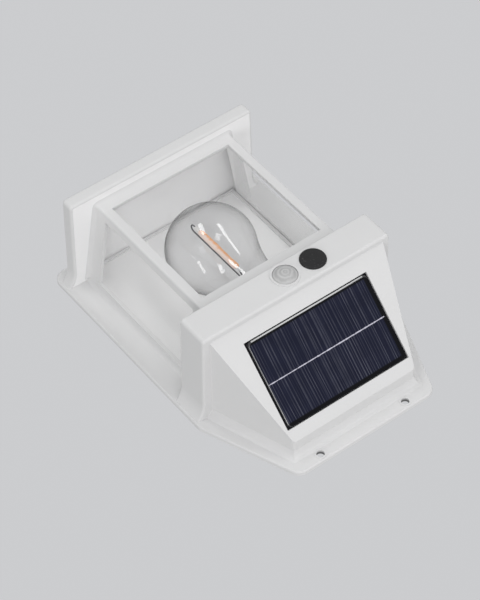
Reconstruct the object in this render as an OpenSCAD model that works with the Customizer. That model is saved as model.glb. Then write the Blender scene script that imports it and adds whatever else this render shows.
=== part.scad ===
// Solar fence light with a glazed lantern, a globe bulb, a motion sensor and a push button.
// It is drawn as it hangs: +Z is up, the wall is the plane y = 0 and the front faces -Y.
// Depth d is measured from the wall toward the front, so y = -d.

/* [Wall plate] */
// Width of the wall plate
plate_w = 115; // [111:0.5:119]
// Height of the plate over the slanted head
top_margin = 9.4; // [8.4:0.1:12]
// Width of the plate's top edge
plate_top_w = 77.2; // [75:0.2:82]
// Drop of the plate's shoulders below its top edge
shoulder_drop = 48.6; // [44:0.2:52]
// Thickness of the plate
plate_t = 2.2; // [2:0.1:2.6]
// Radius of the plate's corners
plate_r = 6; // [4:0.5:8]
// Radius of the plate's front edge
plate_edge_r = 0.8; // [0.4:0.1:1.2]
// Radius of a wall screw hole
wall_hole_r = 1.95; // [1.6:0.05:2.2]
// Distance between the two wall screw holes
wall_hole_gap = 48.4; // [44:0.2:52]
// Drop of the wall screw holes below the plate's top edge
wall_hole_drop = 3.5; // [3.4:0.1:4.5]

/* [Lantern] */
// Width across the lantern's front
lantern_w = 75.6; // [74:0.2:77]
// Height of the lantern between the cap and the head
lantern_h = 83.6; // [76:0.2:100]
// Depth of the lantern's front from the wall
lantern_d = 47.4; // [42:0.2:54]
// How far each side widens toward the wall, per unit of depth
side_slope = 0.168; // [0.15:0.002:0.175]
// Wall of the mouldings
wall = 1.8; // [1.7:0.05:1.9]
// Width of a front post
post_w = 4.6; // [4.2:0.1:5.4]
// Depth of a post at its side face
post_d = 4.3; // [3.6:0.1:5]
// Height of the bottom rail over the bottom cap
rail_t = 6.1; // [5.4:0.1:7]
// Height of the top rail under the head
top_rail_t = 8.6; // [8.2:0.1:9.4]
// Height of the side windows' lower frame over the bottom cap
side_rail_t = 8.1; // [7:0.1:9]
// Depth at which the side windows' sill lies
sill_d = 6; // [5:0.2:7]

/* [Bottom cap] */
// Width of the bottom cap at its front
cap_w = 103.2; // [101:0.2:104]
// How far the bottom cap stands out past the lantern
cap_out = 6.6; // [5:0.2:8]
// Thickness of the bottom cap
cap_t = 6.8; // [6.2:0.1:7.4]
// Height of the bottom cap over the plate's lower edge
cap_margin = 5.7; // [5:0.1:6.4]

/* [Head] */
// Width of the head's flange at its front
head_w = 104.2; // [102:0.2:105]
// How far the head's flange stands out past the lantern
head_out = 6.6; // [6.2:0.2:8]
// Height of the head's flange
head_t = 17.3; // [17:0.1:18.2]
// Width of the slanted part where it leaves the flange
slant_w = 96.8; // [95.6:0.2:97.6]
// Width of the slanted part at its far end
slant_end_w = 68.6; // [68:0.2:69.4]
// Step from the flange's front back to the slant
slant_step = 3; // [2.6:0.1:3.4]
// Depth of the slant at its far end
slant_end_d = 11.9; // [11.4:0.1:12.4]
// Height of the slanted part over the flange
slant_h = 41.2; // [40.8:0.1:41.8]
// Sideways tilt of the cap's and flange's ends, per unit of depth
end_draft = 0.02; // [0.01:0.002:0.03]
// Radius of the rounded edges of the cap and flange
soft_r = 1.3; // [0.8:0.1:1.6]

/* [Solar panel] */
// Width of the solar panel
panel_w = 68; // [66:0.2:68.4]
// Length of the solar panel up the slant
panel_l = 42.6; // [41:0.2:43]
// Distance of the panel from the flange along the slant
panel_start = 7.9; // [7.4:0.1:8.4]
// How far the panel's face lies under the slant
panel_sink = 0.4; // [0.2:0.1:0.6]
// Number of cells side by side
cell_count = 12; // [10:1:14]

/* [Controls] */
// Radius of the push button
button_r = 6.2; // [5.8:0.1:6.4]
// How far the button stands out
button_out = 1; // [0.8:0.1:1.2]
// Travel of the push button
button_travel = 0.7; // [0.5:0.05:0.8]
// Distance of the button from the sensor
button_shift = 15.6; // [14.4:0.2:16]
// Radius of the sensor lens
lens_r = 5.75; // [5.5:0.05:5.8]
// Height of the sensor lens's dome
lens_h = 2.4; // [2:0.1:2.8]

/* [Fits] */
// Gap at a seat between two pieces
seat = 0.3; // [0.2:0.05:0.3]
// Running clearance of the button in its bore, on the radius
running = 0.06; // [0.04:0.01:0.09]
// Running clearance of a screw in its hole, on the radius
screw_play = 0.05; // [0.03:0.01:0.08]

/* [Hidden] */

// One overrun for all cuts, and facets
over = 0.5;
round_fn = 64;
small_fn = 32;
arc_steps = 6;

// Depths and levels of the mouldings, from the plate's centre
cap_d = lantern_d + cap_out;
head_d = lantern_d + head_out;
slant_d = head_d - slant_step;
plate_h = cap_margin + cap_t + lantern_h + head_t + slant_h + top_margin;
plate_bot = -plate_h/2;
plate_top = plate_h/2;
shoulder_z = plate_top - shoulder_drop;
cap_z0 = plate_bot + cap_margin;
cap_z1 = cap_z0 + cap_t;
head_z0 = cap_z1 + lantern_h;
head_z1 = head_z0 + head_t;
slant_z1 = head_z1 + slant_h;
win_z0 = cap_z1 + rail_t;
win_z1 = head_z0 - top_rail_t;
win_x = lantern_w/2 - post_w;
side_z0 = cap_z1 + side_rail_t;
skew = sqrt(1 + side_slope*side_slope);

// Base flares and fillets
foot_r = 2;
flare_r = 14;
flare_reach = 3.2;
corner_r = 2;
skirt_r = 4;
groove_r = 2.5;
hole_ring_w = 0.9;
hole_ring_h = 0.25;
flare_a = acos(1 - flare_reach/flare_r);
flare_h = flare_r*sin(flare_a);

// Slant: its angle, and places on it at x, distance t up the slant and height h over it
slant_a = atan2(slant_h, slant_d - slant_end_d);
slant_len = norm([slant_h, slant_d - slant_end_d]);
function slant_pt(x, t, h) =
  [x, -slant_d + t*cos(slant_a) - h*sin(slant_a), head_z1 + t*sin(slant_a) + h*cos(slant_a)];
function slant_depth(z, inner) = slant_d - (z - head_z1)/tan(slant_a) - inner/sin(slant_a);
slant_taper = (slant_w - slant_end_w)/2/slant_h;
function slant_x(z, inner) =
  slant_w/2 - (z - head_z1)*slant_taper - inner*sqrt(1 + slant_taper*slant_taper);

// Half width of the lantern at depth d, measured inside its face
function side_x(d, inner) = lantern_w/2 + side_slope*(lantern_d - d) - inner*skew;

// Rear stack: cover, seal and the seats that carry them
head_sink = 0.1;
cover_t = 2.2;
cover_d = cover_t;
seal_t = 0.8;
seat_d = cover_d + seal_t;
seal_w = 1.5;
ledge_t = 1.5;
ledge_w = 1.8;
open_z0 = cap_z0 + wall;
open_x = side_x(plate_t, wall);
head_ix = head_w/2 - wall;

// Window liner
slip = 0.2;
pane_t = 1;
pane_sink = 0.3;
liner_d = lantern_d - wall - slip;
liner_rise = 1.3;
liner_drop = 6.4;
liner_z1 = head_z0 - liner_drop;
liner_front_z = win_z0 - liner_rise;
liner_back_z = cap_z1 - 2;
rim_t = 1.2;
pane_in_d = lantern_d - pane_sink - pane_t;

// Rear screws and their bosses; each head lies in the cover
screw_r = 1;
screw_head_r = 2.1;
screw_head_t = 1;
screw_l = 8;
boss_r = 2.8;
boss_l = 11.5;
mid_screw_in = 4;
mid_screw_up = 4;
top_screw_in = 5.8;
top_screw_drop = 4.2;
mid_screw = [head_ix - mid_screw_in, head_z0 + wall + mid_screw_up];
top_screw_z = slant_z1 - wall - top_screw_drop;
top_screw = [slant_x(top_screw_z, top_screw_in), top_screw_z];
cover_screws = [mid_screw, top_screw];

// Tongues at the cover's lower edge
tongue_x = 28;
tongue_w = 12;
tongue_t = 1;
tongue_l = 1.2;
tongue_play = 0.15;

// Lamp deck, bulb and lamp holder stand on one axis
bulb_gap = 0.2;
axis_d = (pane_in_d + cover_d)/2;
bulb_r = (pane_in_d - cover_d)/2 - bulb_gap;
glass_t = 0.7;
neck_step = 8.15;
neck_r = bulb_r - neck_step;
neck_drop = 13.1;
bulb_clear = 8.65;
bulb_z = win_z0 + bulb_clear + bulb_r;
neck_z = head_z0 - neck_drop;
neck_up = neck_z - bulb_z;
neck_arc_r = (neck_r*neck_r + neck_up*neck_up - bulb_r*bulb_r)/2/(bulb_r - neck_r);
deck_t = 2;
deck_z = liner_z1 + seat;
deck_rib_w = 1.5;
deck_rib_t = 2;
shell_in = 0.5;
shell_r = neck_r - shell_in;
shell_t = 0.5;
shell_l = 15;
thread_h = 0.25;
thread_pitch = 3.6;
sleeve_gap = 0.15;
sleeve_r = shell_r + thread_h + sleeve_gap;
sleeve_t = 0.5;
holder_wall = 2.3;
holder_in_r = sleeve_r + sleeve_t + slip;
holder_r = holder_in_r + holder_wall;
holder_z0 = neck_z + 1;
holder_l = 22.6;
holder_top_t = 2.4;
holder_z1 = holder_z0 + holder_l;
ear_w = 11;
ear_t = 2.2;
ear_in = 4.5;
ear_screw_x = holder_r + ear_in;
ear_l = 2*ear_screw_x + 2*ear_in;
deck_boss_r = 3;
deck_boss_l = 4;
insul_l = 2.4;
insul_in = 2.5;
insul_r0 = shell_r - insul_in;
insul_r1 = 5;
tip_r = 4.6;
tip_t = 1.1;
shell_z1 = neck_z + shell_l;
tip_z1 = shell_z1 + insul_l + tip_t;
holder_in_z = holder_z1 - holder_top_t;
contact_w = 5;
contact_l = 17;
leaf_t = 0.5;
leaf_gap = 0.1;

// Filament, support wires and stem
filament_out = 4;
filament_top = 14;
filament_w = 2;
filament_t = 1;
filament_low = 9.2;
filament_z = bulb_z - filament_low;
filament_l = neck_z - filament_top - filament_z;
stub_l = 4.3;
loop_steps = 8;
wire_r = 0.35;
stem_r = 2.6;
stem_foot_in = 2.6;
stem_foot_r = neck_r - stem_foot_in;
stem_l = 9;
stem_foot_t = 1.2;

// Board, sensor and switch behind the head's front
front_in = head_d - wall;
board_gap = 6.7;
board_front = front_in - board_gap;
board_t = 1.6;
board_back = board_front - board_t;
board_w = 78;
board_side = 0.6;
board_z0 = head_z0 + wall + board_side;
board_z1 = head_z1 - wall - board_side;
board_hole_x = 35.5;
board_hole_in = 2.9;
board_boss_r = 2.4;
control_z = head_z0 + head_t/2 - 0.25*wall;
lens_flange_r = head_t/2 - 1.25*wall - slip/2;
lens_flange_t = 1;
lens_seal_t = 0.5;
lens_wall = 0.8;
rim_r = 6.9;
rim_h = 0.6;
lens_play = 0.15;
sleeve_wall = 1;
can_r = 4.6;
can_h = 4.4;
button_bore_r = button_r + running;
lug_r = 7.6;
lug_w = 5;
lug_t = 1;
button_rest_gap = 0.1;
guide_wall = 0.7;
guide_w = lug_r + running;
guide_low = head_z0 + wall + slip;
guide_high = head_z1 - wall - slip;
plunger_r = 1.7;
plunger_in = 1.2;
switch_w = 6;
switch_h = 3.6;
button_back = front_in - button_rest_gap - lug_t;
switch_front = board_front + switch_h;

// Solar panel layers
adhesive_t = 0.5;
adhesive_w = 5;
adhesive_in = 0.6;
panel_board_t = 1;
cell_t = 0.2;
resin_t = 0.5;
panel_play = 0.3;
tray_floor = 1.4;
tray_rim = 1.5;
panel_stack = adhesive_t + panel_board_t + cell_t + resin_t;
recess_t = panel_stack + panel_sink;
cell_side = 1.5;
cell_end = 2.2;
cell_gap = 0.35;
cell_pitch = (panel_w - 2*cell_side)/cell_count;
ribbon_w = 0.9;
ribbon_t = 0.12;
lead_hole_r = 2;
lead_hole_x = 24;
lead_hole_in = 8.2;
lead_hole_t = panel_start + lead_hole_in;

// Battery and its tray stand on the rear cover
cell_r = 9.2;
cell_l = 65.2;
cell_play = 0.15;
tray_base = 1.4;
tray_wall = 1.6;
tray_arm = 3.4;
tray_end = 2;
contact_t = 0.5;
contact_gap = 0.1;
battery_d = cover_d + tray_base + cell_play + cell_r;
battery_up = 4.8;
battery_z = head_z1 + battery_up;
tray_x = cell_l/2 + contact_gap + contact_t + tray_end;
tray_screw_x = 24;
tray_foot = 5;
tray_half = cell_r + cell_play + tray_wall;
tray_screw_l = 3.6;

// Leads
lead_r = 0.7;
lead_gap = 2.2;
lead_run = 1;
lead_pull = 3.5;

// Plain helpers
function unit(v) = v/norm(v);
function corner(a, b, c, r) =
  let (u = unit(a - b), w = unit(c - b), half = acos(u*w)/2, t = r/tan(half),
       m = b + unit(u + w)*r/sin(half), p = b + u*t - m, q = b + w*t - m,
       a0 = atan2(p.y, p.x), turn = ((atan2(q.y, q.x) - a0 + 540) % 360) - 180)
  [for (i = [0:arc_steps]) m + r*[cos(a0 + turn*i/arc_steps), sin(a0 + turn*i/arc_steps)]];
function rounded(pts, rs) =
  let (n = len(pts))
  [for (i = [0:n - 1]) each (rs[i] > 0
    ? corner(pts[(i + n - 1) % n], pts[i], pts[(i + 1) % n], rs[i]) : [pts[i]])];
function mirrored(pts) = concat(pts, [for (i = [len(pts) - 1:-1:0]) [-pts[i].x, pts[i].y]]);
function both(rs) = concat(rs, [for (i = [len(rs) - 1:-1:0]) rs[i]]);
// Moves each side of a counter-clockwise outline inward
function inset(pts, by) =
  let (n = len(pts))
  [for (i = [0:n - 1])
    let (a = pts[(i + n - 1) % n], b = pts[i], c = pts[(i + 1) % n],
         u = unit(b - a), w = unit(c - b), n1 = [-u.y, u.x], n2 = [-w.y, w.x])
    b + (n1 + n2)*by/(1 + n1*n2)];
function at_z(pts, z) = [for (p = pts) [p.x, p.y, z]];
function at_d(pts, d) = [for (p = pts) [p.x, -d, p.y]];

// A closed skin over rings of as many points each
module loft(rings) {
  n = len(rings[0]);
  m = len(rings);
  end_strips = [for (i = [0:n/2 - 2]) [i, i + 1, n - 2 - i, n - 1 - i]];
  polyhedron(points = [for (r = rings) each r], convexity = 6, faces = concat(
    end_strips,
    [for (k = [0:m - 2], i = [0:n - 1])
      [k*n + i, (k + 1)*n + i, (k + 1)*n + (i + 1) % n, k*n + (i + 1) % n]],
    [for (f = end_strips) [for (i = [3:-1:0]) (m - 1)*n + f[i]]]));
}
// A slab of an x-z outline between two depths
module slab(pts, d0, d1) {
  translate([0, -d0, 0]) rotate([90, 0, 0]) linear_extrude(d1 - d0) polygon(pts);
}
// A prism of an x-y outline between two heights
module prism_z(pts, z0, z1) {
  translate([0, 0, z0]) linear_extrude(z1 - z0) polygon(pts);
}
// A prism of a y-z outline, centred on x = 0
module prism_x(pts, half) {
  translate([-half, 0, 0]) rotate([90, 0, 90]) linear_extrude(2*half) polygon(pts);
}
module box(x0, x1, d0, d1, z0, z1) {
  translate([x0, -d1, z0]) cube([x1 - x0, d1 - d0, z1 - z0]);
}
// A round bar along the depth, a cone where its two radii differ
module bar_d(x, z, r, d0, d1, fn = small_fn) {
  translate([x, -d0, z]) rotate([90, 0, 0]) cylinder(r = r, h = d1 - d0, $fn = fn);
}
module cone_d(x, z, r0, r1, d0, d1) {
  translate([x, -d0, z]) rotate([90, 0, 0])
    cylinder(r1 = r0, r2 = r1, h = d1 - d0, $fn = small_fn);
}
// A turned piece on an axis along the depth: profile in [radius, depth]
module turned_d(x, z, profile, fn = round_fn) {
  translate([x, 0, z]) rotate([90, 0, 0]) rotate_extrude($fn = fn) polygon(profile);
}
// A turned piece on the lamp's axis: profile in [radius, height]
module turned(profile) {
  translate([0, -axis_d, 0]) rotate_extrude($fn = round_fn) polygon(profile);
}
module on_slant() {
  translate([0, -slant_d, head_z1]) rotate([slant_a, 0, 0]) children();
}
module mirror_x() { children(); mirror([1, 0, 0]) children(); }
// A tube along points, with six sides
function side_dir(p, i) =
  let (n = len(p), t = unit(p[min(i + 1, n - 1)] - p[max(i - 1, 0)]))
  [t, unit(cross(t, [1, 0, 0]))];
module tube(p, r) {
  loft([for (i = [0:len(p) - 1])
    let (f = side_dir(p, i), u = f[1], v = cross(f[0], f[1]))
    [for (k = [0:5]) p[i] + r*(u*cos(60*k) + v*sin(60*k))]]);
}
function cubic(a, b, c, e) = [for (t = [0:0.125:1])
  pow(1 - t, 3)*a + 3*t*(1 - t)*(1 - t)*b + 3*t*t*(1 - t)*c + t*t*t*e];
// A lead that leaves both its ends straight, along u and along w
function lead_path(a, u, b, w, run = lead_run) = concat([a],
  cubic(a + u*run, a + u*(run + lead_pull), b + w*(lead_run + lead_pull), b + w*lead_run), [b]);

// Outlines of the mouldings
plate_pts = rounded(mirrored([[plate_w/2, plate_bot], [plate_w/2, shoulder_z],
  [plate_top_w/2, plate_top]]), both([plate_r, plate_r, plate_r]));
lantern_pts = rounded(mirrored([[side_x(lantern_d, 0), -lantern_d],
  [side_x(plate_t, 0), -plate_t], [side_x(plate_t, 0) + 2*foot_r, -plate_t],
  [side_x(plate_t, 0) + 2*foot_r, 0]]), both([corner_r/2, foot_r, 0, 0]));
groove_pts = rounded(mirrored([[side_x(lantern_d, 0), -lantern_d],
  [side_x(plate_t + groove_r, 0), -plate_t - groove_r]]), both([corner_r/2, 0]));
function end_x(w, depth, d) = w/2 + end_draft*(depth - d);
// A flange seen from above: rounded front corners, and ends that flare out at the plate
function flange_pts(w, depth) =
  let (x1 = end_x(w, depth, plate_t + flare_h), x2 = x1 + flare_reach)
  rounded(mirrored(concat([[w/2, -depth]],
    [for (i = [0:arc_steps]) let (a = flare_a*i/arc_steps)
      [x1 + flare_r*(1 - cos(a)), -plate_t - flare_h + flare_r*sin(a)]],
    [[x2, 0]])), both(concat([corner_r], [for (i = [0:arc_steps + 1]) 0])));
// A prism whose upper and lower edges are rounded
module pillow(pts, z0, z1, r) {
  steps = [for (i = [0:4]) 90*i/4];
  loft(concat([for (a = steps) at_z(inset(pts, r*(1 - sin(a))), z0 + r*(1 - cos(a)))],
    [for (i = [4:-1:0]) let (a = steps[i]) at_z(inset(pts, r*(1 - sin(a))), z1 - r*(1 - cos(a)))]));
}
slant_plan = mirrored([[slant_x(head_z1 - wall, 0), head_z1 - wall],
  [slant_x(slant_z1, 0), slant_z1]]);
function slant_side(inner) =
  [[over, head_z1 - wall - over], [-slant_depth(head_z1 - wall - over, inner), head_z1 - wall - over],
   [-slant_depth(slant_z1 - inner, inner), slant_z1 - inner], [over, slant_z1 - inner]];
// Plan of the rear opening, which the cover and the seal follow
open_pts = mirrored([[open_x, open_z0], [open_x, head_z0 + wall], [head_ix, head_z0 + wall],
  [head_ix, head_z1 - wall], [slant_x(head_z1 - wall, wall), head_z1 - wall],
  [slant_x(slant_z1 - wall, wall), slant_z1 - wall]]);
head_open_pts = mirrored([[head_ix, head_z0 + wall],
  [head_ix, head_z1 - wall], [slant_x(head_z1 - wall, wall), head_z1 - wall],
  [slant_x(slant_z1 - wall, wall), slant_z1 - wall]]);

module slanted_head() {
  intersection() {
    slab(rounded(slant_plan, both([0, corner_r])), 0, slant_d + wall);
    prism_x(slant_side(0), slant_w);
  }
}
module housing_skin() {
  // Wall plate with a rounded front edge
  loft([at_d(plate_pts, 0), for (i = [0:4]) let (a = 90*i/4)
    at_d(inset(plate_pts, plate_edge_r*(1 - cos(a))), plate_t - plate_edge_r*(1 - sin(a)))]);
  prism_z(lantern_pts, cap_z0 + wall, head_z0 + wall);
  pillow(flange_pts(cap_w, cap_d), cap_z0, cap_z1, soft_r);
  pillow(flange_pts(head_w, head_d), head_z0, head_z1, soft_r);
  slanted_head();
  // Skirt that eases the slanted part into the plate
  loft([for (i = [0:arc_steps]) let (a = 90*i/arc_steps)
    at_d(inset(slant_plan, -skirt_r*(1 - sin(a)) - plate_edge_r/4), plate_t + skirt_r*(1 - cos(a)) - over*(i == 0 ? 1 : 0))]);
  // Hollow easing between the lantern and the cap
  loft([for (i = [0:arc_steps]) let (a = 90*i/arc_steps)
    at_z(inset(groove_pts, -groove_r*(1 - sin(a))), cap_z1 + groove_r*(1 - cos(a)) - (i == 0 ? over : 0))]);
  // Raised ring round the sensor lens
  bar_d(0, control_z, rim_r, head_d - over, head_d + rim_h, round_fn);
  // Raised rings round the wall screw holes
  mirror_x() bar_d(wall_hole_gap/2, plate_top - wall_hole_drop, wall_hole_r + hole_ring_w, 0, plate_t + hole_ring_h);
}
module housing_hollow() {
  // Lantern, open at the back and toward the head
  prism_z(mirrored([[side_x(lantern_d - wall, wall), -(lantern_d - wall)], [side_x(0, wall), over]]),
    open_z0, head_z0 + wall + over);
  // Inside of the bottom cap
  prism_z(mirrored([[open_x, -(cap_d - wall)], [open_x, over]]), open_z0, cap_z1 - wall);
  slab(open_pts, -over, plate_t + over);
  // Head flange and slanted head
  box(-head_ix, head_ix, -over, head_d - wall, head_z0 + wall, head_z1 - wall);
  intersection() {
    slab(mirrored([[slant_x(head_z1 - wall - over, wall), head_z1 - wall - over],
      [slant_x(slant_z1 - wall, wall), slant_z1 - wall]]), -over, slant_d);
    prism_x(slant_side(wall), slant_w);
  }
}
module panel_tray_block(grow, low, high) {
  on_slant() translate([-panel_w/2 - grow, panel_start - grow, low])
    cube([panel_w + 2*grow, panel_l + 2*grow, high - low]);
}
module housing_ribs() {
  // Floor under the panel's recess
  intersection() {
    slanted_head();
    panel_tray_block(panel_play + tray_rim, -recess_t - tray_floor, -wall/2);
  }
  // Ledge that carries the seal round the head
  difference() {
    slab(head_open_pts, seat_d, seat_d + ledge_t);
    slab(inset(head_open_pts, ledge_w), seat_d - over, seat_d + ledge_t + over);
    prism_z(mirrored([[side_x(lantern_d - wall, wall), -(lantern_d - wall)], [side_x(0, wall), over]]),
      head_z0, head_z0 + 3*wall);
  }
  // Ribs that hold the lamp deck down
  difference() {
    prism_z(mirrored([[side_x(lantern_d - wall, wall/2), -(lantern_d - wall/2)],
      [side_x(seat_d + ledge_t, wall/2), -seat_d - ledge_t]]),
      deck_z + deck_t + seat, deck_z + deck_t + seat + deck_rib_t);
    prism_z(mirrored([[side_x(lantern_d - wall, wall + deck_rib_w), -(lantern_d - wall)],
      [side_x(0, wall + deck_rib_w), 0]]), deck_z, head_z0 + wall);
  }
  mirror_x() {
    // Rear screw bosses, with gussets to the wall
    bar_d(mid_screw.x, mid_screw.y, boss_r, seat_d, seat_d + boss_l);
    box(mid_screw.x, head_ix + wall/2, seat_d, seat_d + boss_l, mid_screw.y - wall/2, mid_screw.y + wall/2);
    intersection() {
      slanted_head();
      union() {
        bar_d(top_screw.x, top_screw.y, boss_r, seat_d, slant_d);
        box(top_screw.x, top_screw.x + top_screw_in, seat_d, seat_d + boss_l,
          top_screw.y - wall/2, top_screw.y + wall/2);
      }
    }
    // Board bosses on the inside of the front
    for (z = [board_z0 + board_hole_in, board_z1 - board_hole_in])
      bar_d(board_hole_x, z, board_boss_r, board_front, front_in + over);
  }
}
module housing_holes() {
  // Windows
  box(-win_x, win_x, lantern_d - 2*wall, lantern_d + over, win_z0, win_z1);
  box(-plate_w/2, plate_w/2, sill_d, lantern_d - post_d, side_z0, win_z1);
  // Recess and lead hole of the solar panel
  panel_tray_block(panel_play, -recess_t, over);
  on_slant() translate([lead_hole_x, lead_hole_t, -recess_t - tray_floor - over])
    cylinder(r = lead_hole_r, h = recess_t + tray_floor, $fn = small_fn);
  // Pockets for the cover's tongues
  mirror_x() box(tongue_x - tongue_w/2 - tongue_play, tongue_x + tongue_w/2 + tongue_play,
    cover_d - tongue_t - tongue_play, cover_d + tongue_play, open_z0 - tongue_l - tongue_play + seat, open_z0 + over);
  // Button and lens
  bar_d(-button_shift, control_z, button_bore_r, front_in - over, head_d + over, round_fn);
  bar_d(0, control_z, lens_r + lens_play, front_in - over, head_d + rim_h + over, round_fn);
  mirror_x() {
    bar_d(wall_hole_gap/2, plate_top - wall_hole_drop, wall_hole_r, -over, plate_t + hole_ring_h + over);
    for (s = cover_screws) bar_d(s.x, s.y, screw_r + screw_play, seat_d - over, seat_d + screw_l);
    for (z = [board_z0 + board_hole_in, board_z1 - board_hole_in])
      bar_d(board_hole_x, z, screw_r + screw_play, board_front - over, front_in - seat);
  }
}
module housing() {
  color("whitesmoke") difference() {
    union() {
      difference() { housing_skin(); housing_hollow(); }
      housing_ribs();
    }
    housing_holes();
  }
}

// Clear liner: floor, two sides, front with a raised pane, and a rim at the back
module liner_shape(inner) {
  intersection() {
    prism_z(mirrored([[side_x(liner_d, wall + slip + inner), -(liner_d - inner)],
      [side_x(seat_d, wall + slip + inner), -seat_d + (inner > 0 ? over : 0)]]),
      open_z0, liner_z1 + inner);
    prism_x([[-liner_d - over, liner_z1 + inner], [-liner_d - over, liner_front_z + inner],
      [-liner_d, liner_front_z + inner], [over, liner_back_z + inner], [over, liner_z1 + inner]],
      lantern_w);
  }
}
module window_liner() {
  pad_x = win_x - slip;
  color([0.92, 0.96, 0.98, 0.25]) difference() {
    union() {
      liner_shape(0);
      box(-pad_x, pad_x, liner_d - over, lantern_d - pane_sink, win_z0 + slip, win_z1 - slip);
      box(-open_x + seat, open_x - seat, seat_d, seat_d + rim_t, open_z0 + seat, liner_back_z + rim_t);
    }
    liner_shape(pane_t);
    box(-pad_x + pane_t, pad_x - pane_t, liner_d - 2*pane_t, pane_in_d,
      win_z0 + slip + pane_t, win_z1 - slip - pane_t);
  }
}

module cover_hole(x, z) {
  bar_d(x, z, screw_r + screw_play, -over, cover_d + over);
  bar_d(x, z, screw_head_r + screw_play, -over, head_sink + screw_head_t);
}
module rear_cover() {
  color("whitesmoke") difference() {
    union() {
      slab(inset(open_pts, seat), 0, cover_d);
      mirror_x() box(tongue_x - tongue_w/2, tongue_x + tongue_w/2, cover_d - tongue_t, cover_d,
        open_z0 + seat - tongue_l, open_z0 + 2*seat);
    }
    mirror_x() {
      for (s = cover_screws) cover_hole(s.x, s.y);
      cover_hole(tray_screw_x, battery_z);
    }
  }
}
module rear_seal() {
  color("dimgray") difference() {
    union() {
      difference() {
        slab(inset(open_pts, seat + slip), cover_d, seat_d);
        slab(inset(open_pts, seat + slip + seal_w), cover_d - over, seat_d + over);
      }
      mirror_x() for (s = cover_screws) bar_d(s.x, s.y, boss_r, cover_d, seat_d);
    }
    mirror_x() for (s = cover_screws) bar_d(s.x, s.y, screw_r + screw_play, cover_d - over, seat_d + over);
  }
}
// A screw along the depth, its head toward the wall
module screw_d(x, z, d0, l) {
  turned_d(x, z, [[0, d0], [screw_head_r, d0], [screw_head_r, d0 + screw_head_t],
    [screw_r, d0 + screw_head_t], [screw_r, d0 + l], [0, d0 + l]], small_fn);
}
module rear_cover_screws() {
  color("silver") mirror_x() for (s = cover_screws)
    screw_d(s.x, s.y, head_sink, screw_l);
}

module lamp_deck() {
  color("white") difference() {
    union() {
      prism_z(mirrored([[side_x(liner_d, wall + seat), -liner_d],
        [side_x(seat_d, wall + seat), -seat_d - seat]]), deck_z, deck_z + deck_t);
      mirror_x() translate([ear_screw_x, -axis_d, deck_z - deck_boss_l])
        cylinder(r = deck_boss_r, h = deck_boss_l + over, $fn = small_fn);
    }
    translate([0, -axis_d, deck_z - over])
      cylinder(r = holder_r + screw_play, h = deck_t + 2*over, $fn = round_fn);
    mirror_x() translate([ear_screw_x, -axis_d, deck_z - deck_boss_l - over])
      cylinder(r = screw_r + screw_play, h = deck_boss_l + deck_t + 2*over, $fn = small_fn);
  }
}
module lamp_holder() {
  color("gainsboro") difference() {
    union() {
      turned([[0, holder_z0], [holder_r, holder_z0], [holder_r, holder_z1], [0, holder_z1]]);
      translate([-ear_l/2, -axis_d - ear_w/2, deck_z + deck_t]) cube([ear_l, ear_w, ear_t]);
    }
    turned([[0, holder_z0 - over], [holder_in_r, holder_z0 - over], [holder_in_r, holder_in_z], [0, holder_in_z]]);
    mirror_x() translate([ear_screw_x, -axis_d, deck_z])
      cylinder(r = screw_r + screw_play, h = deck_t + 2*ear_t, $fn = small_fn);
  }
}
module holder_screws() {
  z = deck_z + deck_t + ear_t;
  color("silver") mirror_x() translate([ear_screw_x, -axis_d, 0]) rotate_extrude($fn = small_fn)
    polygon([[0, deck_z - deck_boss_l + screw_head_t], [screw_r, deck_z - deck_boss_l + screw_head_t],
      [screw_r, z], [screw_head_r, z], [screw_head_r, z + screw_head_t], [0, z + screw_head_t]]);
}
module holder_sleeve() {
  color("goldenrod") turned([[sleeve_r, holder_z0 + shell_t], [sleeve_r + sleeve_t, holder_z0 + shell_t],
    [sleeve_r + sleeve_t, holder_in_z - seat], [sleeve_r, holder_in_z - seat]]);
}
// A leaf spring: its two feet lie on the holder's roof and its middle on the bulb's tip
module holder_contact() {
  low = tip_z1 + leaf_gap;
  top = holder_in_z;
  half = [[contact_l/2, top - leaf_t], [tip_r, top - leaf_t], [tip_r/2, low]];
  back = [[tip_r/2, low + leaf_t], [tip_r, top], [contact_l/2, top]];
  color("goldenrod") translate([0, contact_w/2 - axis_d, 0]) rotate([90, 0, 0]) linear_extrude(contact_w)
    polygon(concat([for (i = [2:-1:0]) [-half[2 - i].x, half[2 - i].y]], [for (i = [2:-1:0]) half[i]],
      [for (i = [2:-1:0]) back[i]], [for (i = [0:2]) [-back[i].x, back[i].y]]));
}

// Outer radius of the glass at height z over the globe's centre
neck_touch = (neck_up)*bulb_r/(bulb_r + neck_arc_r);
function glass_r(h, inner) = h <= neck_touch
  ? sqrt(max(0, (bulb_r - inner)*(bulb_r - inner) - h*h))
  : neck_r + neck_arc_r - sqrt(pow(neck_arc_r + inner, 2) - pow(neck_up - h, 2));
glass_steps = 28;
function glass_profile(inner) = concat(
  [for (i = [0:glass_steps]) let (a = -90 + (90 + asin(neck_touch/bulb_r))*i/glass_steps)
    [max(0, (bulb_r - inner)*cos(a)), bulb_z + (bulb_r - inner)*sin(a)]],
  [for (i = [1:glass_steps/2]) let (h = neck_touch + (neck_up - neck_touch)*i/(glass_steps/2))
    [glass_r(h, inner), bulb_z + h]]);
module bulb_glass() {
  color([0.9, 0.95, 0.98, 0.25]) turned(concat(glass_profile(0),
    [for (i = [len(glass_profile(glass_t)) - 1:-1:0]) glass_profile(glass_t)[i]]));
}
module bulb_stem() {
  color([0.9, 0.95, 0.98, 0.4]) turned([[0, neck_z - stem_l], [stem_r, neck_z - stem_l],
    [stem_r, neck_z - stem_l/2], [stem_foot_r, neck_z - stem_foot_t], [neck_r - glass_t, neck_z - stem_foot_t],
    [neck_r - glass_t, neck_z], [0, neck_z]]);
}
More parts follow.
